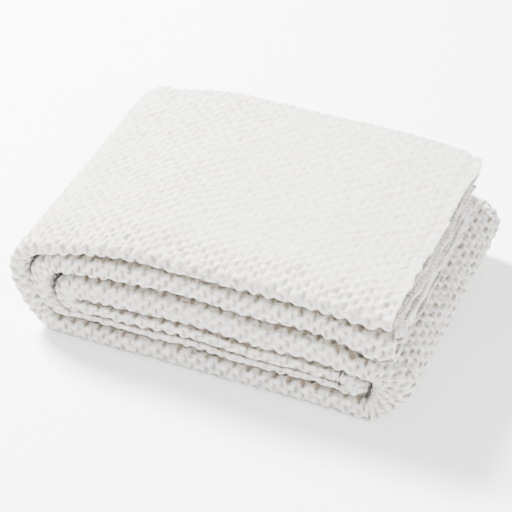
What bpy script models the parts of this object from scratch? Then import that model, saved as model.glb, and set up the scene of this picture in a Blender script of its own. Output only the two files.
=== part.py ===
"""Folded throw blanket: one cotton cloth, folded six plies deep into a strip and then into six leaves.

Metres, +Z up, X along the leaves, Y across them. The origin is on the floor, under the middle of the pack.
Each leaf is a band of six plies. Each turn is the band bending round to the next leaf.
"""
import math

import bmesh
import bpy
from mathutils import Matrix, Vector

# Driving dimensions
PACK_LENGTH = 0.302          # along X, from the outer left turn to the outer right turn
PACK_DEPTH = 0.217           # along Y, from the front folds to the rear folds
BOTTOM_LEAF_THICK = 0.0185
FIFTH_LEAF_THICK = 0.0080
FOURTH_LEAF_THICK = 0.0115
THIRD_LEAF_THICK = 0.0250
SECOND_LEAF_THICK = 0.0205
TOP_LEAF_THICK = 0.0140
TURN_PLY_THICK = 0.0110      # outer left turn, where its plies are pulled tight
INNER_TURN_THICK = 0.0130
RIGHT_TURN_THICK = 0.0270    # outer right turn at its fullest
LEFT_TURN_REACH = 0.0310     # how far the outer left turn stands out from the leaves' ends
TURN_NEST_GAP = 0.0040       # open space between the two left turns
RIGHT_TURN_REACH = 0.0320
CORE_LEFT_REACH = 0.0135     # the two blunt folds in the middle of the pack
CORE_RIGHT_REACH = 0.0215
CORE_LEFT_SPACE = 0.0085     # hollow between the left one's tip and the inner left turn
CORE_RIGHT_SPACE = 0.0035    # hollow between the right one's tip and the outer right turn
INNER_LEAF_INSET = 0.0100    # the second and fifth leaves' left ends, in from the outer leaves' ends
FREE_END_INSET = 0.0180      # from the pack's right end to the free end of the top leaf
SECOND_END_INSET = 0.0150
HEM_WIDTH = 0.0080
ROOT_LENGTH = 0.0300         # short stretch of the top leaf between the two hinge lines
LEFT_TAPER = 0.16            # share of its height that the stack loses at its left end
RIGHT_TAPER = 0.06
TAPER_LENGTH = 0.0820
LEFT_TAPER_FREE = 0.1145     # from the pack's left end to where the left taper starts
RIGHT_TAPER_FREE = 0.1050
THIRD_LEAF_DIP = 0.0085      # the third leaf's top drops this far before it enters the right turn
DIP_LENGTH = 0.0480
HINGE_RISE = 0.0010          # hinge lines lie this far above the top leaf
GAP = 0.0003                 # clearance between touching pieces

FRONT_INSET = {"bottom": 0.0, "fifth": 0.0030, "fourth": 0.0015, "third": 0.0, "second": 0.0015, "top": 0.0030}
HEM_SETBACK = 0.0040         # a hem is this much narrower than its leaf, at the front and at the rear
HEM_THINNER = 0.0010         # and this much thinner, above and below
EDGE_STEPS = 5               # facets in each rounded fold edge, per quarter
TURN_STEPS = 16
NOSE_STEPS = 8
KNOTS = 24                   # facets along the whole pack

LEFT = -PACK_LENGTH / 2
RIGHT = PACK_LENGTH / 2
LEAF_LEFT = LEFT + LEFT_TURN_REACH
INNER_LEFT = LEAF_LEFT + INNER_LEAF_INSET
INNER_TURN_REACH = INNER_LEFT - LEFT - TURN_PLY_THICK - TURN_NEST_GAP
CORE_LEFT = INNER_LEFT - INNER_TURN_REACH + INNER_TURN_THICK + CORE_LEFT_SPACE + CORE_LEFT_REACH
CORE_RIGHT = RIGHT - RIGHT_TURN_THICK - CORE_RIGHT_SPACE - CORE_RIGHT_REACH
LEAF_RIGHT = RIGHT - RIGHT_TURN_REACH
TOP_END = RIGHT - FREE_END_INSET
SECOND_END = RIGHT - SECOND_END_INSET
ROOT_END = LEAF_LEFT + ROOT_LENGTH

# Heights of the faces between the leaves, bottom to top, at the middle of the pack
THICKNESSES = (BOTTOM_LEAF_THICK, FIFTH_LEAF_THICK, FOURTH_LEAF_THICK, THIRD_LEAF_THICK, SECOND_LEAF_THICK,
               TOP_LEAF_THICK)
LEVELS = [sum(THICKNESSES[:count]) for count in range(len(THICKNESSES) + 1)]
FLOOR, FIFTH_LOW, FOURTH_LOW, THIRD_LOW, SECOND_LOW, TOP_LOW, TOP_HIGH = range(7)


def clamp01(value):
    return min(max(value, 0.0), 1.0)


def taper(x):
    """The stack sinks towards both ends, as the square of the distance into each tapered stretch."""
    left = clamp01((LEFT + LEFT_TAPER_FREE - x) / TAPER_LENGTH)
    right = clamp01((x - RIGHT + RIGHT_TAPER_FREE) / TAPER_LENGTH)
    return 1.0 - LEFT_TAPER * left ** 2 - RIGHT_TAPER * right ** 2


def smooth_height(level, x):
    """Height of the face between two leaves at x, as a smooth curve."""
    height = LEVELS[level] * taper(x)
    if level == SECOND_LOW:
        height -= THIRD_LEAF_DIP * clamp01((x - LEAF_RIGHT + DIP_LENGTH) / DIP_LENGTH) ** 2
    return height


def face_height(level, x):
    """The same face made of flat facets between evenly spaced knots, which all leaves share."""
    position = (x - LEFT) / PACK_LENGTH * KNOTS
    first = math.floor(position)
    share = position - first
    low = smooth_height(level, LEFT + PACK_LENGTH * first / KNOTS)
    high = smooth_height(level, LEFT + PACK_LENGTH * (first + 1) / KNOTS)
    return low + (high - low) * share


def swing_relief():
    """How much nearer to the second leaf the top leaf's hinge end comes as it swings up.

    The end turns about a line r above it, over a face of slope s, and comes r * (sqrt(1 + s^2) - 1) nearer.
    """
    radius = face_height(TOP_HIGH, ROOT_END) + HINGE_RISE - face_height(TOP_LOW, ROOT_END)
    slope = (face_height(TOP_LOW, ROOT_END + radius) - face_height(TOP_LOW, ROOT_END)) / radius
    return radius * (math.hypot(1.0, slope) - 1.0)


def leaf_sections(low, high, x_start, x_end, thinner=0.0, lift=0.0):
    """Stations along a leaf, each a pair of points (x, z) on its lower and upper faces.

    lift raises the lower face at the leaf's start, and fades out over the length of the root.
    """
    below = GAP if low != FLOOR else 0.0
    knots = [LEFT + PACK_LENGTH * index / KNOTS for index in range(KNOTS + 1)]
    inside = [x for x in knots if x_start + GAP < x < x_end - GAP]
    stations = []
    for x in [x_start] + inside + [x_end]:
        raised = lift * clamp01(1.0 - (x - x_start) / ROOT_LENGTH)
        lower = (x, face_height(low, x) + below + thinner + raised)
        upper = (x, face_height(high, x) - thinner)
        stations.append((lower, upper))
    return stations


def half_ellipse(x_face, reach, z_low, z_high, angle):
    """Point of a half ellipse that stands out of the plane x = x_face by reach, angle from its lower end."""
    middle = (z_low + z_high) / 2
    half = (z_high - z_low) / 2
    return (x_face + reach * math.sin(angle), middle - half * math.cos(angle))


def turn_sections(x_face, outer_reach, inner_reach, outer_z, inner_z):
    """Stations round a turn, each a pair of points on its inner and outer faces, both half ellipses."""
    stations = []
    for step in range(TURN_STEPS + 1):
        angle = math.pi * step / TURN_STEPS
        inner = half_ellipse(x_face, inner_reach, inner_z[0], inner_z[1], angle)
        outer = half_ellipse(x_face, outer_reach, outer_z[0], outer_z[1], angle)
        stations.append((inner, outer))
    return stations


def nose_sections(x_face, reach, z_low, z_high):
    """Stations of a blunt fold: its height shrinks to the tip as a half ellipse, cut off just short of it."""
    stations = []
    middle = (z_low + z_high) / 2
    half = (z_high - z_low) / 2
    for step in range(NOSE_STEPS + 1):
        angle = 0.46 * math.pi * step / NOSE_STEPS
        x = x_face + reach * math.sin(angle)
        stations.append(((x, middle - half * math.cos(angle)), (x, middle + half * math.cos(angle))))
    return stations


def ring(station, y_front, y_rear):
    """Closed ring of points round one station: flat faces, with half-round edges at the front and rear."""
    (x_low, z_low), (x_high, z_high) = station
    radius = math.hypot(x_high - x_low, z_high - z_low) / 2
    points = []
    for y_edge, side in ((y_front, -1), (y_rear, 1)):
        for step in range(2 * EDGE_STEPS + 1):
            angle = math.pi * (step / (2 * EDGE_STEPS) - 0.5) * -side
            share = 0.5 + 0.5 * math.sin(angle)
            y = y_edge - side * radius * (1.0 - math.cos(angle))
            points.append((x_low + (x_high - x_low) * share, y, z_low + (z_high - z_low) * share))
    return points


def add_band(name, stations, inset, material, extra_inset=0.0):
    """A closed band: one ring for each station, joined ring to ring and capped at both ends."""
    y_front = -PACK_DEPTH / 2 + FRONT_INSET[inset] + extra_inset
    y_rear = PACK_DEPTH / 2 - FRONT_INSET[inset] - extra_inset
    rings = [ring(station, y_front, y_rear) for station in stations]
    count = len(rings[0])
    vertices = [point for points in rings for point in points]
    faces = []
    for first in range(len(rings) - 1):
        for index in range(count):
            following = (index + 1) % count
            base = first * count
            faces.append((base + index, base + following, base + count + following, base + count + index))
    faces.append(tuple(range(count))[::-1])
    last = (len(rings) - 1) * count
    faces.append(tuple(last + index for index in range(count)))
    mesh = bpy.data.meshes.new(name)
    mesh.from_pydata(vertices, [], faces)
    mesh.materials.append(material)
    piece = bpy.data.objects.new(name, mesh)
    bpy.context.collection.objects.link(piece)
    return piece


def face_outwards(piece):
    """Turns every face of a closed piece outwards."""
    work = bmesh.new()
    work.from_mesh(piece.data)
    bmesh.ops.recalc_face_normals(work, faces=work.faces)
    work.to_mesh(piece.data)
    work.free()
    piece.data.shade_smooth()
    piece.data.set_sharp_from_angle(angle=math.radians(40))


def cotton(name, colour, roughness):
    """Matt off-white cotton."""
    material = bpy.data.materials.new(name)
    material.use_nodes = True
    shader = material.node_tree.nodes["Principled BSDF"]
    shader.inputs["Base Color"].default_value = (*colour, 1.0)
    shader.inputs["Roughness"].default_value = roughness
    shader.inputs["Metallic"].default_value = 0.0
    return material


def hinge(name, x):
    """Empty on a hinge line, just above the top leaf at x. The line itself runs along Y."""
    empty = bpy.data.objects.new(name, None)
    empty.location = (x, 0.0, face_height(TOP_HIGH, x) + HINGE_RISE)
    bpy.context.collection.objects.link(empty)
    return empty


def hang_on(piece, empty, world_place):
    """Puts a piece's origin on a hinge line and parents it there, without moving the piece."""
    piece.data.transform(Matrix.Translation(-world_place))
    piece.parent = empty


def add_fixed_leaves(cloth):
    """The four leaves that stay down: bottom, fifth, fourth and third."""
    add_band("bottom_leaf", leaf_sections(FLOOR, FIFTH_LOW, LEAF_LEFT + GAP, LEAF_RIGHT - GAP), "bottom", cloth)
    add_band("fifth_leaf", leaf_sections(FIFTH_LOW, FOURTH_LOW, INNER_LEFT + GAP, CORE_RIGHT - GAP), "fifth", cloth)
    add_band("fourth_leaf", leaf_sections(FOURTH_LOW, THIRD_LOW, CORE_LEFT + GAP, CORE_RIGHT - GAP), "fourth",
             cloth)
    add_band("third_leaf", leaf_sections(THIRD_LOW, SECOND_LOW, CORE_LEFT + GAP, LEAF_RIGHT - GAP), "third", cloth)


def add_left_turns(cloth):
    """Two nested turns at the left: top leaf to bottom leaf outside, second leaf to fifth leaf inside."""
    outer = turn_sections(LEAF_LEFT, -LEFT_TURN_REACH, TURN_PLY_THICK - LEFT_TURN_REACH,
                          (0.0, face_height(TOP_HIGH, LEAF_LEFT)),
                          (face_height(FIFTH_LOW, LEAF_LEFT), face_height(TOP_LOW, LEAF_LEFT) + GAP))
    add_band("outer_left_turn", outer, "bottom", cloth)
    inner = turn_sections(INNER_LEFT, -INNER_TURN_REACH, INNER_TURN_THICK - INNER_TURN_REACH,
                          (face_height(FIFTH_LOW, INNER_LEFT) + GAP, face_height(TOP_LOW, LEAF_LEFT)),
                          (face_height(FOURTH_LOW, INNER_LEFT), face_height(SECOND_LOW, INNER_LEFT) + GAP))
    add_band("inner_left_turn", inner, "second", cloth)


def add_right_turn(cloth):
    """The full round turn at the right, from the third leaf down to the bottom leaf."""
    outer = turn_sections(LEAF_RIGHT, RIGHT_TURN_REACH, RIGHT_TURN_REACH - RIGHT_TURN_THICK,
                          (0.0, face_height(SECOND_LOW, SECOND_END)),
                          (face_height(FIFTH_LOW, LEAF_RIGHT), face_height(THIRD_LOW, LEAF_RIGHT) + GAP))
    add_band("outer_right_turn", outer, "third", cloth)


def add_core_folds(cloth):
    """The blunt folds inside the pack: third to fourth leaf at the left, fourth to fifth at the right."""
    left = nose_sections(CORE_LEFT, -CORE_LEFT_REACH, face_height(FOURTH_LOW, CORE_LEFT) + GAP,
                         face_height(SECOND_LOW, CORE_LEFT - CORE_LEFT_REACH))
    add_band("left_core_fold", left, "third", cloth)
    right = nose_sections(CORE_RIGHT, CORE_RIGHT_REACH, face_height(FIFTH_LOW, CORE_RIGHT) + GAP,
                          face_height(THIRD_LOW, CORE_RIGHT + CORE_RIGHT_REACH))
    add_band("right_core_fold", right, "fourth", cloth)


def add_top_fold(cloth, binding):
    """What opens first: the second leaf with its hem, and the short root of the top leaf."""
    leaf_end = SECOND_END - HEM_WIDTH
    leaf = add_band("second_leaf", leaf_sections(SECOND_LOW, TOP_LOW, INNER_LEFT + GAP, leaf_end - GAP), "second",
                    cloth)
    hem = add_band("second_hem", leaf_sections(SECOND_LOW, TOP_LOW, leaf_end, SECOND_END, HEM_THINNER), "second",
                   binding, HEM_SETBACK)
    root = add_band("top_leaf_root", leaf_sections(TOP_LOW, TOP_HIGH, LEAF_LEFT + GAP, ROOT_END - GAP), "top",
                    cloth)
    return [leaf, hem, root]


def add_top_leaf(cloth, binding):
    """The top leaf with its hem, which also lifts away from the second leaf."""
    leaf_end = TOP_END - HEM_WIDTH
    sections = leaf_sections(TOP_LOW, TOP_HIGH, ROOT_END, leaf_end - GAP, lift=swing_relief() + GAP)
    leaf = add_band("top_leaf", sections, "top", cloth)
    hem = add_band("top_hem", leaf_sections(TOP_LOW, TOP_HIGH, leaf_end, TOP_END, HEM_THINNER), "top", binding,
                   HEM_SETBACK)
    return [leaf, hem]


def build():
    """Clears the scene and builds every piece of the folded blanket."""
    for item in list(bpy.data.objects):
        bpy.data.objects.remove(item, do_unlink=True)
    cloth = cotton("cotton_cellular_weave", (0.85, 0.84, 0.82), 0.95)
    binding = cotton("cotton_hem", (0.83, 0.82, 0.79), 0.92)
    add_fixed_leaves(cloth)
    add_left_turns(cloth)
    add_right_turn(cloth)
    add_core_folds(cloth)
    fold_line = hinge("top_fold_line", LEAF_LEFT)
    leaf_line = hinge("top_leaf_line", ROOT_END)
    fold_place = Vector(fold_line.location)
    leaf_place = Vector(leaf_line.location)
    for piece in add_top_fold(cloth, binding):
        hang_on(piece, fold_line, fold_place)
    for piece in add_top_leaf(cloth, binding):
        hang_on(piece, leaf_line, leaf_place)
    leaf_line.parent = fold_line
    leaf_line.location = leaf_place - fold_place
    for piece in bpy.data.objects:
        if piece.type == "MESH":
            face_outwards(piece)


build()
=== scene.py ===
# Folded cotton throw: one cloth, folded six plies deep into a strip, then into six leaves.
import math

import bpy
import numpy as np
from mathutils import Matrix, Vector


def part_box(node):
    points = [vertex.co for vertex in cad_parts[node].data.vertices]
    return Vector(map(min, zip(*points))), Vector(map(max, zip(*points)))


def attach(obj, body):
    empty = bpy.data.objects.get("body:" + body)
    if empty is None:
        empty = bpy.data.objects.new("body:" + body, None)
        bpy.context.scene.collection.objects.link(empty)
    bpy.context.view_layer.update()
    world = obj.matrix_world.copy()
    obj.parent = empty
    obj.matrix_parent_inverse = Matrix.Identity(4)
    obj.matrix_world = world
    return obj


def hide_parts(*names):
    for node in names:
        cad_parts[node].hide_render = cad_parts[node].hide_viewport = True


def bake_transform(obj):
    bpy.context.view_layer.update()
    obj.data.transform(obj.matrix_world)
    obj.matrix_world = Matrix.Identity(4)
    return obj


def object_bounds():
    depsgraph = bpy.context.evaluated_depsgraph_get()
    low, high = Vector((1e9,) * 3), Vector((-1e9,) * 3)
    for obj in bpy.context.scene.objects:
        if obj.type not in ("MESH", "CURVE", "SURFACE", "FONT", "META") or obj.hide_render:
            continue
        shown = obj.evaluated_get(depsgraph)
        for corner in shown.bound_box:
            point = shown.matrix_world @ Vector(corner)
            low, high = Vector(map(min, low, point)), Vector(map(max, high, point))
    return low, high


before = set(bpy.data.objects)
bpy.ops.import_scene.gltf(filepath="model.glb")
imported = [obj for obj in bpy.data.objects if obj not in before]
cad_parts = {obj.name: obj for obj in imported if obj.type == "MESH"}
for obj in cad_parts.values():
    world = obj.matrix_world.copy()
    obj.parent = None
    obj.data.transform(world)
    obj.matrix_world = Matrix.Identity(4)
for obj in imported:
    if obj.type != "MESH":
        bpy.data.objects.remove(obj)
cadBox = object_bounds()
print("frame:", len(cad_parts), "nodes")


def smoothStep(value, low, high):
    # 0 below low, 1 above high, and the cubic 3t^2 - 2t^3 in between
    t = np.clip((value - low) / (high - low), 0.0, 1.0)
    return t * t * (3 - 2 * t)


def blurAlong(values, sigma):
    # weighted mean along the first axis with a Gaussian window of sigma samples, ends repeated
    reach = int(math.ceil(3 * sigma))
    window = np.exp(-0.5 * (np.arange(-reach, reach + 1) / sigma) ** 2)
    window /= window.sum()
    flat = values.reshape(len(values), -1)
    padded = np.concatenate([np.repeat(flat[:1], reach, 0), flat, np.repeat(flat[-1:], reach, 0)])
    mixed = np.stack([np.convolve(padded[:, k], window, mode="valid") for k in range(flat.shape[1])], 1)
    return mixed.reshape(values.shape)


def softNoise(x, y, size, seed):
    # random numbers from -1 to 1 on a square grid of that size, joined by smooth steps
    table = np.random.default_rng(seed).uniform(-1, 1, (64, 64))
    gx, gy = x / size, y / size
    ix, iy = np.floor(gx).astype(int), np.floor(gy).astype(int)
    tx, ty = gx - ix, gy - iy
    tx, ty = tx * tx * (3 - 2 * tx), ty * ty * (3 - 2 * ty)
    near, far = np.mod(ix, 64), np.mod(ix + 1, 64)
    low, high = np.mod(iy, 64), np.mod(iy + 1, 64)
    first = table[near, low] * (1 - tx) + table[far, low] * tx
    second = table[near, high] * (1 - tx) + table[far, high] * tx
    return first * (1 - ty) + second * ty


stackShape = {
    "leftTurnThick": 0.0150,     # the outer left turn, pulled tight
    "leftTurnBulge": 0.0042,     # how far it and the next two stand out past their solids
    "innerTurnBulge": 0.0050,
    "leftCoreBulge": 0.0052,
    "innerTurnThick": 0.0166,
    "rightTurnThick": 0.0306,
    "leftLean": 0.20,            # how much fuller a turn is at its top than at its bottom
    "hollowLean": 0.48,          # the same for the left turns' inner faces, which opens a hollow there
    "rightLean": 0.42,
    "creaseReach": 0.0012,       # the sharp inside of a core fold
    "relax": 0.0032,             # corners of the path are rounded over about this length
    "step": 0.0013,              # spacing of the stations along the strip's longer face
    "shrink": 0.0003,            # leaves keep this much clear of each other
    "slices": 160,               # cuts along a leaf, and points round a turn
    "runPoints": 260,            # points along a leaf, before they are spaced evenly
}


profiles = {}


def bandProfile(node):
    # heights of a leaf's lower and upper faces over x: the CAD solid's edges cut by planes of constant x
    if node not in profiles:
        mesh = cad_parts[node].data
        points = np.array([v.co for v in mesh.vertices])
        edges = np.array([e.vertices[:] for e in mesh.edges])
        start, end = points[edges[:, 0]], points[edges[:, 1]]
        rows = []
        for x in np.linspace(points[:, 0].min() + 0.0001, points[:, 0].max() - 0.0001, stackShape["slices"]):
            cut = (start[:, 0] - x) * (end[:, 0] - x) < 0
            share = (x - start[cut, 0]) / (end[cut, 0] - start[cut, 0])
            z = start[cut, 2] + share * (end[cut, 2] - start[cut, 2])
            rows.append((x, z.min(), z.max()))
        profiles[node] = np.array(rows).T
    return profiles[node]


def leafRun(nodes, xFrom, xTo, aOnTop):
    # straight run: both faces follow the CAD leaf's own heights
    parts = [bandProfile(node) for node in nodes]
    xs, low, high = (np.concatenate([p[k] for p in parts]) for k in range(3))
    order = np.argsort(xs)
    x = np.linspace(xFrom, xTo, stackShape["runPoints"])
    lower = np.stack([x, np.interp(x, xs[order], low[order])], 1)
    upper = np.stack([x, np.interp(x, xs[order], high[order])], 1)
    return (upper, lower) if aOnTop else (lower, upper)


def halfRound(xFace, reach, zLow, zHigh, lean, upwards):
    # half ellipse standing out of a plane of constant x, made fuller towards its top by lean
    angle = np.linspace(0, math.pi, stackShape["slices"])
    height = -np.cos(angle)
    fullness = np.sin(angle) * (1 + lean * height)
    x = xFace + reach * fullness / fullness.max()
    z = (zLow + zHigh) / 2 + (zHigh - zLow) / 2 * height
    points = np.stack([x, z], 1)
    return points if upwards else points[::-1]


def stripPath():
    # both faces of the whole strip, from the top leaf's free end round to the second leaf's free end
    s = stackShape
    low = {n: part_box(n)[0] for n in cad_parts}
    high = {n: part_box(n)[1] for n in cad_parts}
    leafLeft, innerLeft = high["outer_left_turn"][0], high["inner_left_turn"][0]
    leafRight, coreLeft = low["outer_right_turn"][0], high["left_core_fold"][0]
    coreRight, topEnd = low["right_core_fold"][0], high["top_hem"][0]
    secondEnd = high["second_hem"][0]

    def at(node, x, k):
        return float(np.interp(x, bandProfile(node)[0], bandProfile(node)[k]))

    topZ = (at("top_leaf_root", leafLeft, 1), at("top_leaf_root", leafLeft, 2))
    bottomZ = at("bottom_leaf", leafLeft, 2)
    fifthZ = (at("fifth_leaf", innerLeft, 1), at("fifth_leaf", innerLeft, 2))
    secondZ = (at("second_leaf", innerLeft, 1), at("second_leaf", innerLeft, 2))
    thirdR = (at("third_leaf", leafRight, 1), at("third_leaf", leafRight, 2))
    bottomR = at("bottom_leaf", leafRight, 2)
    coreL = (at("fourth_leaf", coreLeft, 1), at("third_leaf", coreLeft, 1), at("third_leaf", coreLeft, 2))
    coreR = (at("fifth_leaf", coreRight, 1), at("fourth_leaf", coreRight, 1), at("fourth_leaf", coreRight, 2))
    crease = s["creaseReach"]
    outer = leafLeft - low["outer_left_turn"][0] + s["leftTurnBulge"]
    right = high["outer_right_turn"][0] - leafRight
    noseL = coreLeft - low["left_core_fold"][0] + s["leftCoreBulge"]
    noseR = high["right_core_fold"][0] - coreRight
    inner = innerLeft - low["inner_left_turn"][0] + s["innerTurnBulge"]
    return [
        ("top", leafRun(["top_leaf", "top_leaf_root"], topEnd, leafLeft, True)),
        ("leftTurn", (
            halfRound(leafLeft, -outer, 0, topZ[1], s["leftLean"], False),
            halfRound(leafLeft, s["leftTurnThick"] - outer, bottomZ, topZ[0], s["hollowLean"], False))),
        ("bottom", leafRun(["bottom_leaf"], leafLeft, leafRight, False)),
        ("rightTurn", (
            halfRound(leafRight, right, 0, thirdR[1], s["rightLean"], True),
            halfRound(leafRight, right - s["rightTurnThick"], bottomR, thirdR[0], 0, True))),
        ("third", leafRun(["third_leaf"], leafRight, coreLeft, True)),
        ("leftCore", (
            halfRound(coreLeft, -noseL, coreL[0], coreL[2], 0, False),
            halfRound(coreLeft, -crease, coreL[1] - crease / 2, coreL[1] + crease / 2, 0, False))),
        ("fourth", leafRun(["fourth_leaf"], coreLeft, coreRight, False)),
        ("rightCore", (
            halfRound(coreRight, noseR, coreR[0], coreR[2], 0, False),
            halfRound(coreRight, crease, coreR[1] - crease / 2, coreR[1] + crease / 2, 0, False))),
        ("fifth", leafRun(["fifth_leaf"], coreRight, innerLeft, True)),
        ("innerTurn", (
            halfRound(innerLeft, s["innerTurnThick"] - inner, fifthZ[1], secondZ[0], s["hollowLean"], True),
            halfRound(innerLeft, -inner, fifthZ[0], secondZ[1], 0, True))),
        ("second", leafRun(["second_leaf"], innerLeft, secondEnd, False)),
    ]


def evenStations(runs):
    # all runs joined end to end, then read again at steps that are even on whichever face is longer
    aSide = np.concatenate([run[0] for name, run in runs])
    bSide = np.concatenate([run[1] for name, run in runs])
    label = np.concatenate([np.full(len(run[0]), k) for k, (name, run) in enumerate(runs)])

    def lengths(points):
        return np.linalg.norm(np.diff(points, axis=0), axis=1)

    steps = np.maximum(lengths(aSide), np.maximum(lengths(bSide), lengths((aSide + bSide) / 2)))
    along = np.concatenate([[0], np.cumsum(steps)])
    count = int(round(along[-1] / stackShape["step"])) + 1
    places = np.linspace(0, along[-1], count)

    def spaced(side):
        return np.stack([np.interp(places, along, side[:, k]) for k in range(2)], 1)

    aSide, bSide = spaced(aSide), spaced(bSide)
    label = label[np.minimum(np.searchsorted(along, places), len(label) - 1)]
    sigma = stackShape["relax"] / stackShape["step"]
    aSide, bSide = blurAlong(aSide, sigma), blurAlong(bSide, sigma)
    half = (aSide - bSide) / 2
    size = np.linalg.norm(half, axis=1)
    return {
        "middle": (aSide + bSide) / 2,
        "side": half / size[:, None],
        "half": size - stackShape["shrink"],
        "label": label,
        "names": [name for name, run in runs],
    }


path = evenStations(stripPath())
stationCount = len(path["half"])
print("path:", stationCount, "stations")
for k, name in enumerate(path["names"]):
    inside = np.flatnonzero(path["label"] == k)
    start, end = path["middle"][inside[[0, -1]]].round(4)
    print("  ", name, inside[0], inside[-1], start, end)

plyShape = {
    "fill": 0.94,                # share of a ply's room that the cloth fills
    "topSamples": 178,           # samples along each ply and round each bend
    "bottomSamples": 96,
    "hiddenSamples": 22,
    "bendSamples": {"middleFront": 8, "topRear": 12, "lowRear": 10, "innerFront": 6},
    "frontSamples": 28,          # round the outer front fold
    "edgeRelax": 0.006,          # steps between neighbouring leaves' edges are eased over this length
    "frontWave": 0.0016,         # how far the front folds wander
    "frontWaveLength": 0.031,
    "rearWave": 0.0022,
    "rearWaveLength": 0.043,
    "hemSetback": 0.0035,
    "hemLength": 0.0104,
    "hemThinner": 0.0007,
    "hemFade": (0.0015, 0.0020),  # turns into plain cloth from this far inside its edge to this far outside
    "topFill": (0.72, 1.60, 0.50, 0.60, 0.66, 0.70),  # how full each ply's sewn end is, top to bottom
    "secondFill": (0.60, 0.66, 1.70, 0.50, 0.66, 0.80),
    "squareness": 0.72,          # 1 makes the front folds half round, less makes them blunt
    "frontReach": 0.80,
    "rearDip": 0.50,             # the second ply sinks by this many half-thicknesses at the rear
    "dipLength": 0.055,          # over this share of the leaf's depth
    "innerReach": 0.80,          # how far the folds inside the outer one bulge
    # where each ply turns at the rear, in half-thicknesses from the rear edge
    "rearEdge": {"one": -0.6, "two": -0.6, "three": -1.9, "four": -1.5, "five": -1.7, "six": -1.5},
    "crowding": 1.5,             # samples of the hidden plies crowd towards their front
    "lowerCrowding": 1.25,
    "endHollow": 0.0110,         # inner plies end this much further in, next to the front and the rear folds
    "hollowPlies": (0.60, 0.75),  # in half-thicknesses from the middle: all up to the first, then fading
    "hollowReach": (0.008, 0.018),  # and the same for the distance from a fold
    "hollowAtRear": 0.7,         # less reaches further in from the rear fold
    "tipFill": (0.40, 0.85, 1.0),  # the last rows of a sewn end close up
    "topSteps": (0.0012, -0.0016, -0.0080, 0.0004, 0.0016, 0.0004),  # where each ply ends, top to bottom
    "secondSteps": (-0.0010, 0.0010, 0.0022, -0.0060, 0.0012, 0.0000),
    "endWave": 0.0013,
    "endWaveLengths": (0.007, 0.028),
    "stepRamp": 0.036,           # the leaf takes up its plies' steps over this length
    "deepestStep": 0.4,          # as a share of that length
    "pucker": 0.0006,            # sewn ends ripple up and down by this much
    "puckerLength": 0.006,
    "outerPucker": 0.3,          # share of it that the outer ply shows
    "swell": 0.30,               # and get thicker and thinner by this share
    "swellLength": 0.0045,
}


def sectionPlan():
    # the cloth's run through the six plies, as (q, weight of the front edge, k): a point lies q
    # half-thicknesses from the leaf's middle, and its y is front * weight + rear * (1 - weight) + k * half
    p = plyShape

    def straight(q, start, end, count, power):
        # from (weight, k) at start to (weight, k) at end, samples crowded towards the front by power
        t = np.linspace(0, 1, count + 1)[:-1]
        toFront = end[0] > start[0]
        t = 1 - (1 - t) ** power if toFront else t ** power
        rows = [start[j] + (end[j] - start[j]) * t for j in range(2)]
        return np.stack([np.full(count, q), rows[0], rows[1]], 1)

    def bend(qFrom, qTo, weight, k, count, sign, power=1.0, reach=1.0):
        # from ply to ply about (q middle, k), bulging towards sign in y: cos and sin each raised to power
        angle = np.linspace(0, math.pi, count + 1)[:-1]
        radius = abs(qTo - qFrom) / 2 * reach
        turned = np.sign(np.cos(angle)) * np.abs(np.cos(angle)) ** power
        q = (qFrom + qTo) / 2 - (qTo - qFrom) / 2 * turned
        return np.stack([q, np.full(count, float(weight)), k + sign * radius * np.sin(angle) ** power], 1)

    def dipped(rows):
        # the second ply sinks towards the rear, where it turns up round an open loop
        rows[:, 0] -= p["rearDip"] * (1 - smoothStep(rows[:, 1], 0.0, p["dipLength"]))
        return rows

    hidden, count, rear = p["hiddenSamples"], p["bendSamples"], p["rearEdge"]
    crowd, inside = p["crowding"], p["innerReach"]
    edge = p["frontReach"] * 5 / 6 + 1 / 6
    parts = [
        ("five", straight(-1 / 2, (0, rear["five"]), (1, edge), hidden, crowd)),
        ("middleFront", bend(-1 / 2, 1 / 2, 1, edge, count["middleFront"], -1, 1.0, inside)),
        ("two", dipped(straight(1 / 2, (1, edge), (0, rear["two"]), hidden, crowd))),
        ("topRear", bend(1 / 2 - p["rearDip"], 5 / 6, 0, rear["two"], count["topRear"], 1)),
        ("one", straight(5 / 6, (0, rear["one"]), (1, edge), p["topSamples"], 1.0)),
        ("outerFront", bend(5 / 6, -5 / 6, 1, edge, p["frontSamples"], -1, p["squareness"], p["frontReach"])),
        ("six", straight(-5 / 6, (1, edge), (0, rear["six"]), p["bottomSamples"], p["lowerCrowding"])),
        ("lowRear", bend(-5 / 6, -1 / 6, 0, rear["six"], count["lowRear"], 1)),
        ("four", straight(-1 / 6, (0, rear["four"]), (1, edge), hidden, crowd)),
        ("innerFront", bend(-1 / 6, 1 / 6, 1, edge, count["innerFront"], -1, 1.0, inside)),
        ("three", straight(1 / 6, (1, edge), (0, rear["three"]), hidden, crowd)),
    ]
    tag = np.concatenate([[name] * len(rows) for name, rows in parts])
    return np.concatenate([rows for name, rows in parts]), tag


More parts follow.
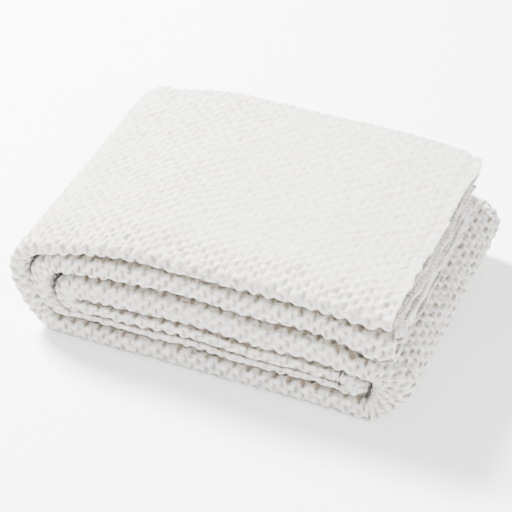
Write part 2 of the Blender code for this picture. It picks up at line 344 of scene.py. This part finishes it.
def edgeLines(path):
    # y of the front and the rear folds at each station: the CAD leaf's own edge, plus a slow wander
    p = plyShape
    nodeOf = {"top": "top_leaf", "leftTurn": "outer_left_turn", "bottom": "bottom_leaf",
              "rightTurn": "outer_right_turn", "third": "third_leaf", "leftCore": "left_core_fold",
              "fourth": "fourth_leaf", "rightCore": "right_core_fold", "fifth": "fifth_leaf",
              "innerTurn": "inner_left_turn", "second": "second_leaf"}
    low = np.array([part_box(nodeOf[name])[0][1] for name in path["names"]])[path["label"]]
    high = np.array([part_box(nodeOf[name])[1][1] for name in path["names"]])[path["label"]]
    sigma = p["edgeRelax"] / stackShape["step"]
    place = np.arange(len(low)) * stackShape["step"]
    wander = 0.5 + 0.5 * softNoise(place, 0 * place, p["frontWaveLength"], 11)
    front = blurAlong(low, sigma) + p["frontWave"] * wander
    wander = 0.6 + 0.6 * softNoise(place, 0 * place, p["rearWaveLength"], 12)
    rear = blurAlong(high, sigma) - p["rearWave"] * wander
    fromEnd = np.minimum(place, place[-1] - place)
    hem = 1 - smoothStep(fromEnd, p["hemLength"] - p["hemFade"][0], p["hemLength"] + p["hemFade"][1])
    return front + p["hemSetback"] * hem, rear - p["hemSetback"] * hem, hem


def masterCloth(path):
    # every ply of every leaf as one grid: stations along the strip, samples along the folded section
    plan, tag = sectionPlan()
    front, rear, hem = edgeLines(path)
    half = (path["half"] - plyShape["hemThinner"] * hem)[:, None]
    q, weight, k = plan[:, 0][None], plan[:, 1][None], plan[:, 2][None]
    y = front[:, None] * weight + rear[:, None] * (1 - weight) + k * half
    w = q * half
    dy, dw = np.gradient(y, axis=1), np.gradient(w, axis=1)
    size = np.maximum(np.hypot(dy, dw), 1e-9)
    ny, nw = dw / size, -dy / size
    middle, side = path["middle"], path["side"]

    def place(y, w):
        return np.stack([middle[:, 0:1] + side[:, 0:1] * w, y, middle[:, 1:2] + side[:, 1:2] * w], 2)

    base = place(y, w)
    normal = np.stack([side[:, 0:1] * nw, ny, side[:, 1:2] * nw], 2)
    rows = np.arange(len(y))
    fromEnd = np.minimum(rows, rows[-1] - rows)
    atTop = (rows < rows[-1] / 2)[:, None]
    centres = [-5 / 6, -1 / 2, -1 / 6, 1 / 6, 1 / 2, 5 / 6]
    inHem = hem[:, None]

    def joined(values):
        # one value to a ply, changing evenly round each bend
        byPly = np.interp(q[0], centres, values)
        for name in ("middleFront", "outerFront", "lowRear"):
            bent = np.flatnonzero(tag == name)
            byPly[bent] = np.linspace(byPly[bent[0]], byPly[bent[-1] + 1], len(bent))
        return byPly[None]

    def perPly(key):
        # the top leaf's outer face is up, the second leaf's is down
        return np.where(atTop, joined(plyShape["top" + key][::-1]), joined(plyShape["second" + key]))

    fill = plyShape["fill"] + (perPly("Fill") - plyShape["fill"]) * inHem
    fill = fill * np.interp(fromEnd, [0, 1, 2], plyShape["tipFill"])[:, None]
    run = np.cumsum(size, 1)
    # lengths across a sewn end; the offsets below keep the two ends' noise apart
    run = np.where(atTop, run[0:1], run[-1:])
    ripple = softNoise(run, 60.0 * atTop, plyShape["swellLength"], 43)
    thick = half / 3 * fill * (1 + plyShape["swell"] * ripple * inHem)
    shown = np.where(np.isin(tag, ("one", "outerFront")), plyShape["outerPucker"], 1.0)[None]
    lift = plyShape["pucker"] * softNoise(run, 80.0 * atTop, plyShape["puckerLength"], 44) * inHem * shown
    base += lift[:, :, None] * np.stack([side[:, 0:1], 0 * side[:, 0:1], side[:, 1:2]], 2)
    shortWave, longWave = plyShape["endWaveLengths"]
    wave = softNoise(run, 40.0 * atTop, shortWave, 41) + softNoise(run, 40.0 * atTop, longWave, 42)
    inner = (1 - smoothStep(np.abs(q), *plyShape["hollowPlies"])) * (tag != "outerFront")[None]
    fromRear = plyShape["hollowAtRear"] * (y.max(1)[:, None] - y)
    nearFold = 1 - smoothStep(np.minimum(y - y.min(1)[:, None], fromRear), *plyShape["hollowReach"])
    steps = perPly("Steps") + wave * plyShape["endWave"] - plyShape["endHollow"] * inner * nearFold
    ramp = 1 - smoothStep(fromEnd * stackShape["step"], 0.0, plyShape["stepRamp"])
    base[:, :, 0] += np.maximum(steps, -plyShape["deepestStep"] * plyShape["stepRamp"]) * ramp[:, None]
    return {"base": base, "normal": normal, "thick": thick, "tag": tag, "hem": hem, "q": plan[:, 0]}


cloth = masterCloth(path)
print("cloth grid:", cloth["base"].shape)

weaveShape = {
    "cellLength": 0.0104,        # along the leaves
    "rowPitch": 0.00545,         # across them; every other row is shifted by half a cell
    "depth": 0.0015,             # puff to pit on an open face
    "frontDepth": 0.0031,        # and round the front folds
    "leftDepth": 0.0006,         # added on the left of the top, fading out over leftReach in x
    "leftReach": (-0.09, -0.01),
    "wander": 0.0021,            # how far the rows drift
    "wanderLength": 0.034,
    "jitter": 0.0011,            # and how far single cells do
    "jitterLength": 0.008,
    "pitPowers": (2.6, 1.3),     # m and n of the wide pits; higher is narrower
    "pinPowers": (5, 2.2),       # and of the pin-like pits where the cloth is ironed
    "frontReach": (0.015, 0.045),  # the front folds' depth fades out between these distances from them
    "turnDepth": 1.15,           # the right turn counts as this much of a front fold
    "ironedReach": (-0.075, 0.0),  # the top is ironed flat to the right of this stretch in x
    "ironedPits": 0.85,          # share of the wide pits that ironing takes away
    "ironedPins": 0.9,
    "ironedDepth": 0.32,         # share of the depth that it takes away
    "pressed": 0.40,             # share of the depth lost where a leaf's fold meets the next leaf
    "pressedReach": (0.50, 0.80),
    "looseReach": (0.20, 0.75),  # no relief where stations crowd in a bend, all of it above the second share
    "variation": 0.50,
    "variationLength": 0.011,
    "deepest": 1.2,              # as a share of the ply's thickness
    "rise": 0.30,                # shares of the depth: the whole face, the domes and the pits
    "dome": 0.50,
    "pit": 0.45,
    "lumps": 0.00056,
    "frontLumps": 0.0001,
    "lumpLength": 0.0034,
    "ribs": 0.00012,             # fine ribs of the hems
    "ribPitch": 0.0024,
    "ribDrop": 0.0002,
    "openness": 0.45,            # how much painted shade the slits get: everywhere, near the front and on the right turn
    "frontOpenness": 0.60,
    "turnOpenness": 0.45,
    "backShare": 0.6,            # the back bulges by this share of what a pit is deeper than pitRoom plies
    "pitRoom": 0.8,
}
fadeStations = 6                 # a turn's own values fade in over about this many stations


def weavePlace(cloth):
    # lengths along the cloth: along the strip's longer face, and across it from the middle of the front fold
    base = cloth["base"] + cloth["normal"] * cloth["thick"][:, :, None] / 2
    along = np.arange(len(base))[:, None] * stackShape["step"] * np.ones((1, base.shape[1]))
    acrossStep = np.linalg.norm(np.diff(base, axis=1), axis=2)
    across = np.concatenate([np.zeros((base.shape[0], 1)), np.cumsum(acrossStep, axis=1)], 1)
    zero = int(np.flatnonzero(cloth["tag"] == "outerFront").mean())
    return along, across - across[:, zero:zero + 1]


def weaveRelief(cloth, along, across):
    # soft domes cos(2 pi a) cos(pi b), with narrow pits between neighbours in a row:
    # sin^2(pi a)^m cos^2(pi b / 2)^n + cos^2(pi a)^m sin^2(pi b / 2)^n
    w = weaveShape
    x = cloth["base"][:, :, 0]
    tag = cloth["tag"]
    moved = [w["wander"] * softNoise(along, across, w["wanderLength"], seed)
             + w["jitter"] * softNoise(along, across, w["jitterLength"], seed + 5) for seed in (21, 22)]
    a = (along + moved[0]) / w["cellLength"]
    b = (across + moved[1]) / w["rowPitch"]
    dome = 0.5 + 0.5 * np.cos(2 * math.pi * a) * np.cos(math.pi * b)
    s2, c2 = np.sin(math.pi * a) ** 2, np.cos(math.pi * a) ** 2
    sb, cb = np.sin(math.pi * b / 2) ** 2, np.cos(math.pi * b / 2) ** 2
    m, n = w["pitPowers"]
    wide = s2 ** m * cb ** n + c2 ** m * sb ** n
    m, n = w["pinPowers"]
    pin = s2 ** m * cb ** n + c2 ** m * sb ** n
    nearFront = 1 - smoothStep(np.abs(across), *w["frontReach"])
    label = path["names"].index("rightTurn")
    onTurn = blurAlong((path["label"] == label).astype(float), fadeStations)[:, None]
    nearFront = np.maximum(nearFront, w["turnDepth"] * onTurn)
    inTopLeaf = np.arange(len(x)) < np.flatnonzero(path["label"] == 1)[0]
    onTop = inTopLeaf[:, None] & (tag == "one")[None]
    ironed = np.where(onTop, smoothStep(x, *w["ironedReach"]) * (1 - nearFront), 0.0)
    pit = wide * (1 - w["ironedPits"] * ironed) + pin * w["ironedPins"] * ironed
    depth = w["depth"] + (w["frontDepth"] - w["depth"]) * nearFront
    depth = depth + w["leftDepth"] * onTop * (1 - smoothStep(x, *w["leftReach"]))
    pressed = (tag == "outerFront") * smoothStep(np.abs(cloth["q"]), *w["pressedReach"])
    depth = depth * (1 - w["pressed"] * pressed)[None]
    spacing = np.linalg.norm(np.gradient(cloth["base"], axis=0), axis=2) / stackShape["step"]
    loose = smoothStep(spacing, *w["looseReach"])
    uneven = 1 + w["variation"] * softNoise(along, across, w["variationLength"], 23)
    depth = depth * uneven * (1 - w["ironedDepth"] * ironed) * loose
    depth = np.minimum(depth, w["deepest"] * cloth["thick"])
    relief = depth * (w["rise"] + w["dome"] * (dome - 1) * (1 - 0.5 * ironed) - w["pit"] * pit)
    lumpSize = w["lumps"] + w["frontLumps"] * nearFront
    lumps = softNoise(along, across, w["lumpLength"], 24) * lumpSize * (1 - 0.2 * ironed)
    relief = relief + lumps
    ribs = w["ribs"] * np.cos(2 * math.pi * across / w["ribPitch"])
    plain = cloth["hem"][:, None] * np.where(np.isin(tag, ("one", "outerFront")), 0.0, 1.0)[None]
    # openness sets how much painted shade the slits get
    openness = w["openness"] + w["frontOpenness"] * nearFront + w["turnOpenness"] * onTurn
    openness = openness * (1 - 0.4 * ironed) * (1 - plain) * loose
    return relief * (1 - plain) + (ribs - w["ribDrop"]) * plain, openness, depth, a, b


# where painted shade goes between the leaves and in the sewn ends' gaps
creviceShape = {
    "foldReach": (0.60, 0.96),     # in half-thicknesses from a leaf's middle: starts, and is full
    "behindReach": (0.006, 0.012),  # full up to the first distance behind the fold, none past the second
    "turnLoss": 0.7,               # share of it that the turns lose
    "hemShare": 0.9,
    "tipRows": 1.6,                # the cut ends' last rows stay clear of it
}


def creviceShade(cloth):
    # painted shade: 1 deep between two leaves' front folds, fading over the fold's height and just behind it
    def on(names):
        return np.isin(path["label"], [path["names"].index(name) for name in names])

    aOpen = on(("top", "leftTurn", "bottom", "rightTurn"))
    q = cloth["q"][None] * 6 / 5
    y = cloth["base"][:, :, 1]
    behind = y - y.min(1)[:, None]
    front = (cloth["tag"] == "outerFront")[None]
    flat = np.isin(cloth["tag"], ("one", "six"))[None]
    closed = np.where(q > 0, ~aOpen[:, None], True)
    fold = front * smoothStep(np.abs(q), *creviceShape["foldReach"])
    turns = on(("leftTurn", "rightTurn", "leftCore", "rightCore", "innerTurn"))
    onTurns = blurAlong(turns.astype(float), fadeStations)
    closed = closed * (1 - creviceShape["turnLoss"] * onTurns)[:, None]
    return (fold + flat * (1 - smoothStep(behind, *creviceShape["behindReach"]))) * closed


along, across = weavePlace(cloth)
relief, openness, pitDepth, cellPlace, rowPlace = weaveRelief(cloth, along, across)
crevice = creviceShade(cloth)
hemPart = cloth["hem"][:, None] * np.ones_like(across)
fromEnd = np.minimum(np.arange(stationCount), np.arange(stationCount)[::-1])[:, None]
tip = 1 - smoothStep(fromEnd, 0.0, creviceShape["tipRows"])
hiddenPly = ~np.isin(cloth["tag"], ("one", "outerFront", "six"))[None]
# painted shade in the gaps between the sewn ends' hidden plies and on the inner skins there; none on the last
# rows
hemShade = creviceShape["hemShare"] * hemPart
innerCrevice = np.maximum(crevice, hemShade) * (1 - tip)
crevice = np.maximum(crevice, hemShade * hiddenPly) * (1 - tip)
hemPart = hemPart * ~np.isin(cloth["tag"], ("one", "outerFront"))[None]
print("weave: cloth is", round(float(across[:, -1].mean() - across[:, 0].mean()), 3), "m wide,",
      round(float(along[-1].mean()), 3), "m long")


sagShape = {
    "frontSag": 0.0016,          # slow unevenness of the leaves, strongest at the front
    "frontLength": 0.047,
    "frontFade": 0.045,
    "wholeSag": 0.0009,
    "wholeLength": 0.090,
    "drop": 0.0006,
    "cornerRise": 0.0032,        # the top is this much higher at its left rear corner
    "rearReach": (-0.02, 0.10),
    "leftReach": (0.02, 0.12),
    "push": 0.0012,              # sideways, growing with height
    "pushLength": 0.050,
}


def settle(points):
    # one gentle sag of the whole pack, shared by every piece: heights change by
    # noise(x, y) * sin(pi z / height) at the front, and by noise(x, y) * z / height all over
    w = sagShape
    x, y, z = points[..., 0], points[..., 1], points[..., 2]
    high = cadBox[1][2]
    t = np.clip(z / high, 0, 1.1)
    near = np.exp(-(y - cadBox[0][1]) / w["frontFade"])
    lift = w["frontSag"] * softNoise(x + 1, y * 0.6 + 1, w["frontLength"], 31) * np.sin(math.pi * t) * near
    lift += w["wholeSag"] * softNoise(x + 2, y + 2, w["wholeLength"], 32) * t - w["drop"] * t
    lift += w["cornerRise"] * smoothStep(y, *w["rearReach"]) * smoothStep(-x, *w["leftReach"]) * t
    push = w["push"] * softNoise(z * 2 + 1, y + 3, w["pushLength"], 33) * t
    return np.stack([x + push, y, z + lift], -1)


outerSkin = settle(cloth["base"] + cloth["normal"] * (cloth["thick"] / 2 + relief)[:, :, None])
behind = weaveShape["backShare"] * np.maximum(pitDepth - weaveShape["pitRoom"] * cloth["thick"], 0)
behind = cloth["thick"] / 2 + behind
innerSkin = settle(cloth["base"] - cloth["normal"] * behind[:, :, None])
outerSkin[:, :, 2] = np.maximum(outerSkin[:, :, 2], 0.0)       # nothing goes below the floor
innerSkin[:, :, 2] = np.maximum(innerSkin[:, :, 2], 0.0002)
outerNormal = np.cross(np.gradient(outerSkin, axis=0), np.gradient(outerSkin, axis=1))
outerNormal /= np.maximum(np.linalg.norm(outerNormal, axis=2, keepdims=True), 1e-12)
print("skins: highest point", round(float(outerSkin[:, :, 2].max()), 4), "m")

cutShape = {
    "innerSpacing": 3,           # the inner skin has every third row and column
    "sharpAngle": 70,            # degrees, past which a rim shows as an edge
    "plainSpacing": 3,           # hidden faces keep every third column
    "edgeReach": 0.024,          # but all of them this near to the front fold
    "seam": -0.1005,             # x at which the top leaf is cut from its root
}


def stitch(fine, coarse, finePlaces, coarsePlaces):
    # triangles between two rows of indices that run the same way
    faces = []
    i = j = 0
    while i < len(fine) - 1 or j < len(coarse) - 1:
        stepFine = j == len(coarse) - 1 or (
            i < len(fine) - 1 and finePlaces[i + 1] - coarsePlaces[j] <= coarsePlaces[j + 1] - finePlaces[i])
        if stepFine:
            faces.append((fine[i], fine[i + 1], coarse[j]))
            i += 1
        else:
            faces.append((fine[i], coarse[j + 1], coarse[j]))
            j += 1
    return faces


def makePiece(name, rows, columns, material):
    # closed piece of the cloth: its outer skin on every given row and column, its inner skin on every third
    def third(items):
        kept = items[::cutShape["innerSpacing"]]
        return kept if kept[-1] == items[-1] else np.append(kept, items[-1])

    rows3, columns3 = third(rows), third(columns)
    outer = outerSkin[np.ix_(rows, columns)]
    inner = innerSkin[np.ix_(rows3, columns3)]
    a = np.arange(outer.shape[0] * outer.shape[1]).reshape(outer.shape[:2])
    b = np.arange(inner.shape[0] * inner.shape[1]).reshape(inner.shape[:2]) + a.size
    quads = np.stack([a[:-1, :-1], a[1:, :-1], a[1:, 1:], a[:-1, 1:]], -1).reshape(-1, 4)
    back = np.stack([b[:-1, :-1], b[:-1, 1:], b[1:, 1:], b[1:, :-1]], -1).reshape(-1, 4)
    rims = stitch(a[0], b[0], columns, columns3)
    rims += [f[::-1] for f in stitch(a[-1], b[-1], columns, columns3)]
    rims += [f[::-1] for f in stitch(a[:, 0], b[:, 0], rows, rows3)]
    rims += stitch(a[:, -1], b[:, -1], rows, rows3)
    rims = np.array(rims)
    vertices = np.concatenate([outer.reshape(-1, 3), inner.reshape(-1, 3)])
    corners = np.concatenate([quads.ravel(), back.ravel(), rims.ravel()])
    sizes = np.concatenate([np.full(len(quads) + len(back), 4), np.full(len(rims), 3)])
    mesh = bpy.data.meshes.new(name)
    mesh.vertices.add(len(vertices))
    mesh.vertices.foreach_set("co", vertices.ravel())
    mesh.loops.add(len(corners))
    mesh.loops.foreach_set("vertex_index", corners.astype(np.int32))
    mesh.polygons.add(len(sizes))
    starts = np.concatenate([[0], np.cumsum(sizes)[:-1]])
    mesh.polygons.foreach_set("loop_start", starts.astype(np.int32))
    mesh.update(calc_edges=True)
    mesh.validate()
    facts = {
        "clothCell": ([cellPlace, rowPlace, across], [cellPlace, rowPlace, across]),
        "clothShade": ([openness, crevice, hemPart], [openness, innerCrevice, hemPart]),
    }
    for key, (outside, inside) in facts.items():
        values = [np.stack(outside, -1)[np.ix_(rows, columns)].reshape(-1, 3),
                  np.stack(inside, -1)[np.ix_(rows3, columns3)].reshape(-1, 3)]
        attribute = mesh.attributes.new(key, "FLOAT_VECTOR", "POINT")
        attribute.data.foreach_set("vector", np.concatenate(values).astype(np.float32).ravel())
    mesh.shade_smooth()
    mesh.set_sharp_from_angle(angle=math.radians(cutShape["sharpAngle"]))
    loopNormals = np.zeros((len(corners), 3), np.float32)
    loopNormals[:quads.size] = outerNormal[np.ix_(rows, columns)].reshape(-1, 3)[quads.ravel()]
    mesh.normals_split_custom_set(loopNormals)
    mesh.materials.append(material)
    piece = bpy.data.objects.new(name, mesh)
    bpy.context.collection.objects.link(piece)
    print("  ", name, len(vertices), "vertices")
    return piece


class Wire:
    # a socket of a node tree that can be added, subtracted, multiplied and raised to a power
    def __init__(self, tree, socket):
        self.tree, self.socket = tree, socket

    def compute(self, operation, other=None, flipped=False):
        node = self.tree.nodes.new("ShaderNodeMath")
        node.operation = operation
        order = [self, other] if not flipped else [other, self]
        for slot, item in zip(node.inputs, order):
            if isinstance(item, Wire):
                self.tree.links.new(item.socket, slot)
            elif item is not None:
                slot.default_value = item
        return Wire(self.tree, node.outputs[0])

    def __add__(self, other):
        return self.compute("ADD", other)

    def __radd__(self, other):
        return self.compute("ADD", other, True)

    def __sub__(self, other):
        return self.compute("SUBTRACT", other)

    def __rsub__(self, other):
        return self.compute("SUBTRACT", other, True)

    def __mul__(self, other):
        return self.compute("MULTIPLY", other)

    def __rmul__(self, other):
        return self.compute("MULTIPLY", other, True)

    def __pow__(self, other):
        return self.compute("POWER", other)


class Shader:
    # a material's node tree, with one method that adds any node
    def __init__(self, name):
        self.material = bpy.data.materials.new(name)
        self.material.use_nodes = True
        self.tree = self.material.node_tree
        self.main = self.tree.nodes["Principled BSDF"]

    def add(self, kind, settings=None, output=0, **values):
        node = self.tree.nodes.new(kind)
        for key, value in (settings or {}).items():
            setattr(node, key, value)
        for key, value in values.items():
            slot = node.inputs[int(key[2:])] if key.startswith("in") else node.inputs[key]
            if isinstance(value, Wire):
                self.tree.links.new(value.socket, slot)
            else:
                slot.default_value = value
        return Wire(self.tree, node.outputs[output])

    def drive(self, key, wire):
        self.tree.links.new(wire.socket, self.main.inputs[key])


cottonLook = {
    "light": (0.765, 0.753, 0.718, 1),
    "shade": (0.17, 0.13, 0.080, 1),  # down in the slits and between the leaves
    "clothSlitShade": 0.64,               # how dark the painted shade in the slits is on the cloth, and on the hems
    "hemSlitShade": 0.56,
    # painted shade between the leaves
    "creviceShadeTone": 0.66,
    "baseTone": 0.04,
    "roughness": 0.95,
    "sheen": 0.25,
    "yarnRows": 3.5,                  # yarns to a row of cells
    "driftScale": 35.0,               # three sizes of noise, coarse to fine
    "patchScale": 160.0,
    "fibreScale": 1000.0,
    "driftTone": 0.12,
    "patchTone": 0.30,
    "fibreTone": 0.80,
    "bend": 0.25,                     # how far fibres bend a slit, in cells
    "slitPowers": (4.5, 1.0),         # p and r; higher is narrower
    "barPowers": (1.2, 10.0),
    "barShift": 0.55,                 # in rows
    "barTone": 0.5,
    "patchGain": (2.2, 0.35),         # slits show where the noise times the first is above the second
    "dashLength": 0.0046,             # painted shade in the gaps between the sewn ends' plies, broken into dashes
    "dashBend": 0.004,
    "dashGain": (5.0, 2.1),
    "dashLimit": 0.9,
    "dashShadeTone": 0.6,
    "ribHeight": 0.00018,
    "fibreHeight": 0.0036,
    "slitHeight": 0.0018,
    "bump": 0.7,
}


def cotton(name, slitShadeTone):
    # matt cotton. Slits sin^2(pi a)^p cos^2(pi b / 2)^r, each with a short bar across its rear end, are
    # painted shade between the puffs; yarns and fibres are a shallow bump
    look = cottonLook
    shader = Shader(name)

    def parts(attribute):
        vector = shader.add("ShaderNodeAttribute", {"attribute_name": attribute}, 1)
        node = shader.add("ShaderNodeSeparateXYZ", None, 0, in0=vector).socket.node
        return [Wire(shader.tree, node.outputs[k]) for k in range(3)]

    cell, row, across = parts("clothCell")
    openness, crevice, hem = parts("clothShade")
    spot = shader.add("ShaderNodeTexCoord", None, 3)
    drift = shader.add("ShaderNodeTexNoise", None, 0, Vector=spot, Scale=look["driftScale"], Detail=3.0)
    patch = shader.add("ShaderNodeTexNoise", None, 0, Vector=spot, Scale=look["patchScale"], Detail=2.0)
    fibre = shader.add("ShaderNodeTexNoise", None, 0, Vector=spot, Scale=look["fibreScale"], Detail=3.0)
    bent = (fibre - 0.5) * look["bend"]

    def square(wire, turn, shift=0.0):
        # sin^2 of the wire times turn
        wave = ((wire + shift) * turn).compute("SINE")
        return wave * wave

    def alternate(row2, powers):
        # along2^p (1 - row2)^r + (1 - along2)^p row2^r: neighbouring rows are half a cell apart
        p, r = powers
        return along2 ** p * (1 - row2) ** r + (1 - along2) ** p * row2 ** r

    def patchy(gain):
        return (patch * gain[0] - gain[1]).compute("MAXIMUM", 0.0)

    across2 = square(row, math.pi / 2, 0.0)
    along2 = square(cell + bent, math.pi)
    slit = alternate(across2, look["slitPowers"])
    bar = alternate(square(row + bent, math.pi / 2, look["barShift"]), look["barPowers"])
    # painted shade in the slits and their bars; the same marks also sink the bump below
    mark = (slit + bar * look["barTone"]) * openness * patchy(look["patchGain"])
    grain = (fibre - 0.5) * look["fibreTone"] + (patch - 0.5) * look["patchTone"]
    grain = grain + (drift - 0.5) * look["driftTone"]
    # painted shade in the gaps between the hem's plies, broken into dashes
    dashes = square(across + bent * look["dashBend"], math.pi / look["dashLength"]) ** 2.0
    dashes = dashes * patchy(look["dashGain"])
    dashes = hem * dashes.compute("MINIMUM", look["dashLimit"]) * look["dashShadeTone"]
    # painted shade from the slits, the creases between leaves and the hems' gaps; the grain is the cloth's
    # own uneven tone
    tone = mark * slitShadeTone + crevice * look["creviceShadeTone"] + dashes + grain + look["baseTone"]
    tone = tone.compute("MAXIMUM", 0.0).compute("MINIMUM", 1.0)
    colour = shader.add(
        "ShaderNodeMix", {"data_type": "RGBA"}, 2, in0=tone, in6=look["light"], in7=look["shade"])
    shader.drive("Base Color", colour)
    turn = 2 * math.pi * look["yarnRows"]
    ribs = (cell * turn * 2).compute("SINE") + (row * turn).compute("SINE") * 0.7
    height = ribs * look["ribHeight"] + fibre * look["fibreHeight"] - mark * look["slitHeight"]
    bump = shader.add("ShaderNodeBump", None, 0, Strength=look["bump"], Distance=1.0, Height=height)
    shader.drive("Normal", bump)
    shader.main.inputs["Roughness"].default_value = look["roughness"]
    shader.main.inputs["Sheen Weight"].default_value = look["sheen"]
    return shader.material


clothMaterial = cotton("cottonCloth", cottonLook["clothSlitShade"])
hemMaterial = cotton("cottonHem", cottonLook["hemSlitShade"])
print("cotton: 2 materials")

ends = {name: np.flatnonzero(path["label"] == k)[[0, -1]] for k, name in enumerate(path["names"])}
tag = cloth["tag"]
every = np.arange(len(tag))
nearEdge = np.abs(across[ends["bottom"][0]]) < cutShape["edgeReach"]
thin = np.zeros(len(tag), bool)
thin[::cutShape["plainSpacing"]] = True
plain = every[nearEdge | ~np.isin(tag, ("one", "six")) | thin]
plainBelow = every[nearEdge | (tag != "six") | thin]
hemRows = int(round(plyShape["hemLength"] / stackShape["step"]))
topX = path["middle"][:, 0]
seam = int(np.flatnonzero(topX[:ends["top"][1] + 1] < cutShape["seam"])[0])
last = stationCount - 1
cuts = {
    "topHem": (0, hemRows, every),
    "topLeaf": (hemRows, seam, every),
    "leftTurn": (seam, ends["leftTurn"][1], every),
    "bottomLeaf": (ends["leftTurn"][1], ends["bottom"][1], plain),
    "rightTurn": (ends["bottom"][1], ends["rightTurn"][1], every),
    "thirdLeaf": (ends["rightTurn"][1], ends["leftCore"][1], plainBelow),
    "fourthLeaf": (ends["leftCore"][1], ends["rightCore"][1], plain),
    "fifthLeaf": (ends["rightCore"][1], ends["fifth"][1], plain),
    "innerTurn": (ends["fifth"][1], ends["innerTurn"][1], every),
    "secondLeaf": (ends["innerTurn"][1], last - hemRows, every),
    "secondHem": (last - hemRows, last, every),
}
pieces = {}
for name, (first, final, columns) in cuts.items():
    material = hemMaterial if name.endswith("Hem") else clothMaterial
    pieces[name] = makePiece(name, np.arange(first, final + 1), columns, material)

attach(pieces["topHem"], "top_flap")
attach(pieces["secondHem"], "top_fold")
for name in ("bottomLeaf", "rightTurn", "thirdLeaf", "fourthLeaf", "fifthLeaf"):
    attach(pieces[name], "stack")
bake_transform(pieces["topLeaf"])
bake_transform(pieces["leftTurn"])
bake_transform(pieces["innerTurn"])
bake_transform(pieces["secondLeaf"])
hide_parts("top_hem")
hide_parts("second_hem")
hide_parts("top_leaf")
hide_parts("outer_left_turn", "top_leaf_root")
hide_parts("bottom_leaf")
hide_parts("outer_right_turn")
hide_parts("third_leaf", "left_core_fold")
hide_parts("fourth_leaf", "right_core_fold")
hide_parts("fifth_leaf")
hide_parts("inner_left_turn")
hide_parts("second_leaf")

for name, piece in pieces.items():
    first, final, columns = cuts[name]


studioLook = {
    "floorSize": 4.0,            # half its side
    "floorHeight": -0.0002,
    "floorColour": (0.98, 0.98, 0.98, 1),
    "floorRoughness": 0.9,
    "aim": (0, 0, 0.04),         # the lights point at the middle of the pack
    "keyPlace": (-1.05, 0.40, 1.15),
    "keySize": 0.45,
    "keyPower": 215,
    "fillPlace": (1.25, -0.9, 1.0),
    "fillSize": 0.8,
    "fillPower": 62,
    "skyColour": (1, 1, 1, 1),
    "skyStrength": 1.42,
}


def addFloor():
    # wide pale floor under the pack
    mesh = bpy.data.meshes.new("floor")
    size, height = studioLook["floorSize"], studioLook["floorHeight"]
    corners = [(-size, -size, height), (size, -size, height), (size, size, height), (-size, size, height)]
    mesh.from_pydata(corners, [], [(0, 1, 2, 3)])
    floor = bpy.data.objects.new("floor", mesh)
    bpy.context.collection.objects.link(floor)
    shader = Shader("floorPaper")
    shader.main.inputs["Base Color"].default_value = studioLook["floorColour"]
    shader.main.inputs["Roughness"].default_value = studioLook["floorRoughness"]
    mesh.materials.append(shader.material)


def addLight(name, place, size, power):
    # square soft light aimed at the middle of the pack
    data = bpy.data.lights.new(name, "AREA")
    data.size = size
    data.energy = power
    light = bpy.data.objects.new(name, data)
    light.location = place
    light.rotation_euler = (Vector(studioLook["aim"]) - Vector(place)).to_track_quat("-Z", "Y").to_euler()
    bpy.context.collection.objects.link(light)


viewShape = {
    "azimuth": 22.8,             # degrees round from the front towards the right
    "elevation": 39.4,
    "distance": 1.352,
    "lens": 126.56,              # millimetres, on a sensor 36 mm wide
    "aimX": -0.003,
    "shift": (-0.009765625, 0.060546875),  # puts the pack in the middle of the frame
}


def addCamera():
    # looks down at the pack's front from the right
    a, e = math.radians(viewShape["azimuth"]), math.radians(viewShape["elevation"])
    back = Vector((math.sin(a) * math.cos(e), -math.cos(a) * math.cos(e), math.sin(e)))
    data = bpy.data.cameras.new("camera")
    data.lens = viewShape["lens"]
    data.sensor_width = 36
    data.shift_x, data.shift_y = viewShape["shift"]
    data.clip_end = 20
    camera = bpy.data.objects.new("camera", data)
    camera.location = Vector((viewShape["aimX"], 0, 0)) + back * viewShape["distance"]
    camera.rotation_euler = (-back).to_track_quat("-Z", "Y").to_euler()
    bpy.context.collection.objects.link(camera)
    bpy.context.scene.camera = camera


addFloor()
addLight("keyLight", studioLook["keyPlace"], studioLook["keySize"], studioLook["keyPower"])
addLight("fillLight", studioLook["fillPlace"], studioLook["fillSize"], studioLook["fillPower"])
world = bpy.data.worlds.new("studio")
world.use_nodes = True
sky = world.node_tree.nodes["Background"]
sky.inputs["Color"].default_value = studioLook["skyColour"]
sky.inputs["Strength"].default_value = studioLook["skyStrength"]
bpy.context.scene.world = world
addCamera()
print("studio: floor, 2 lights, sky and camera")
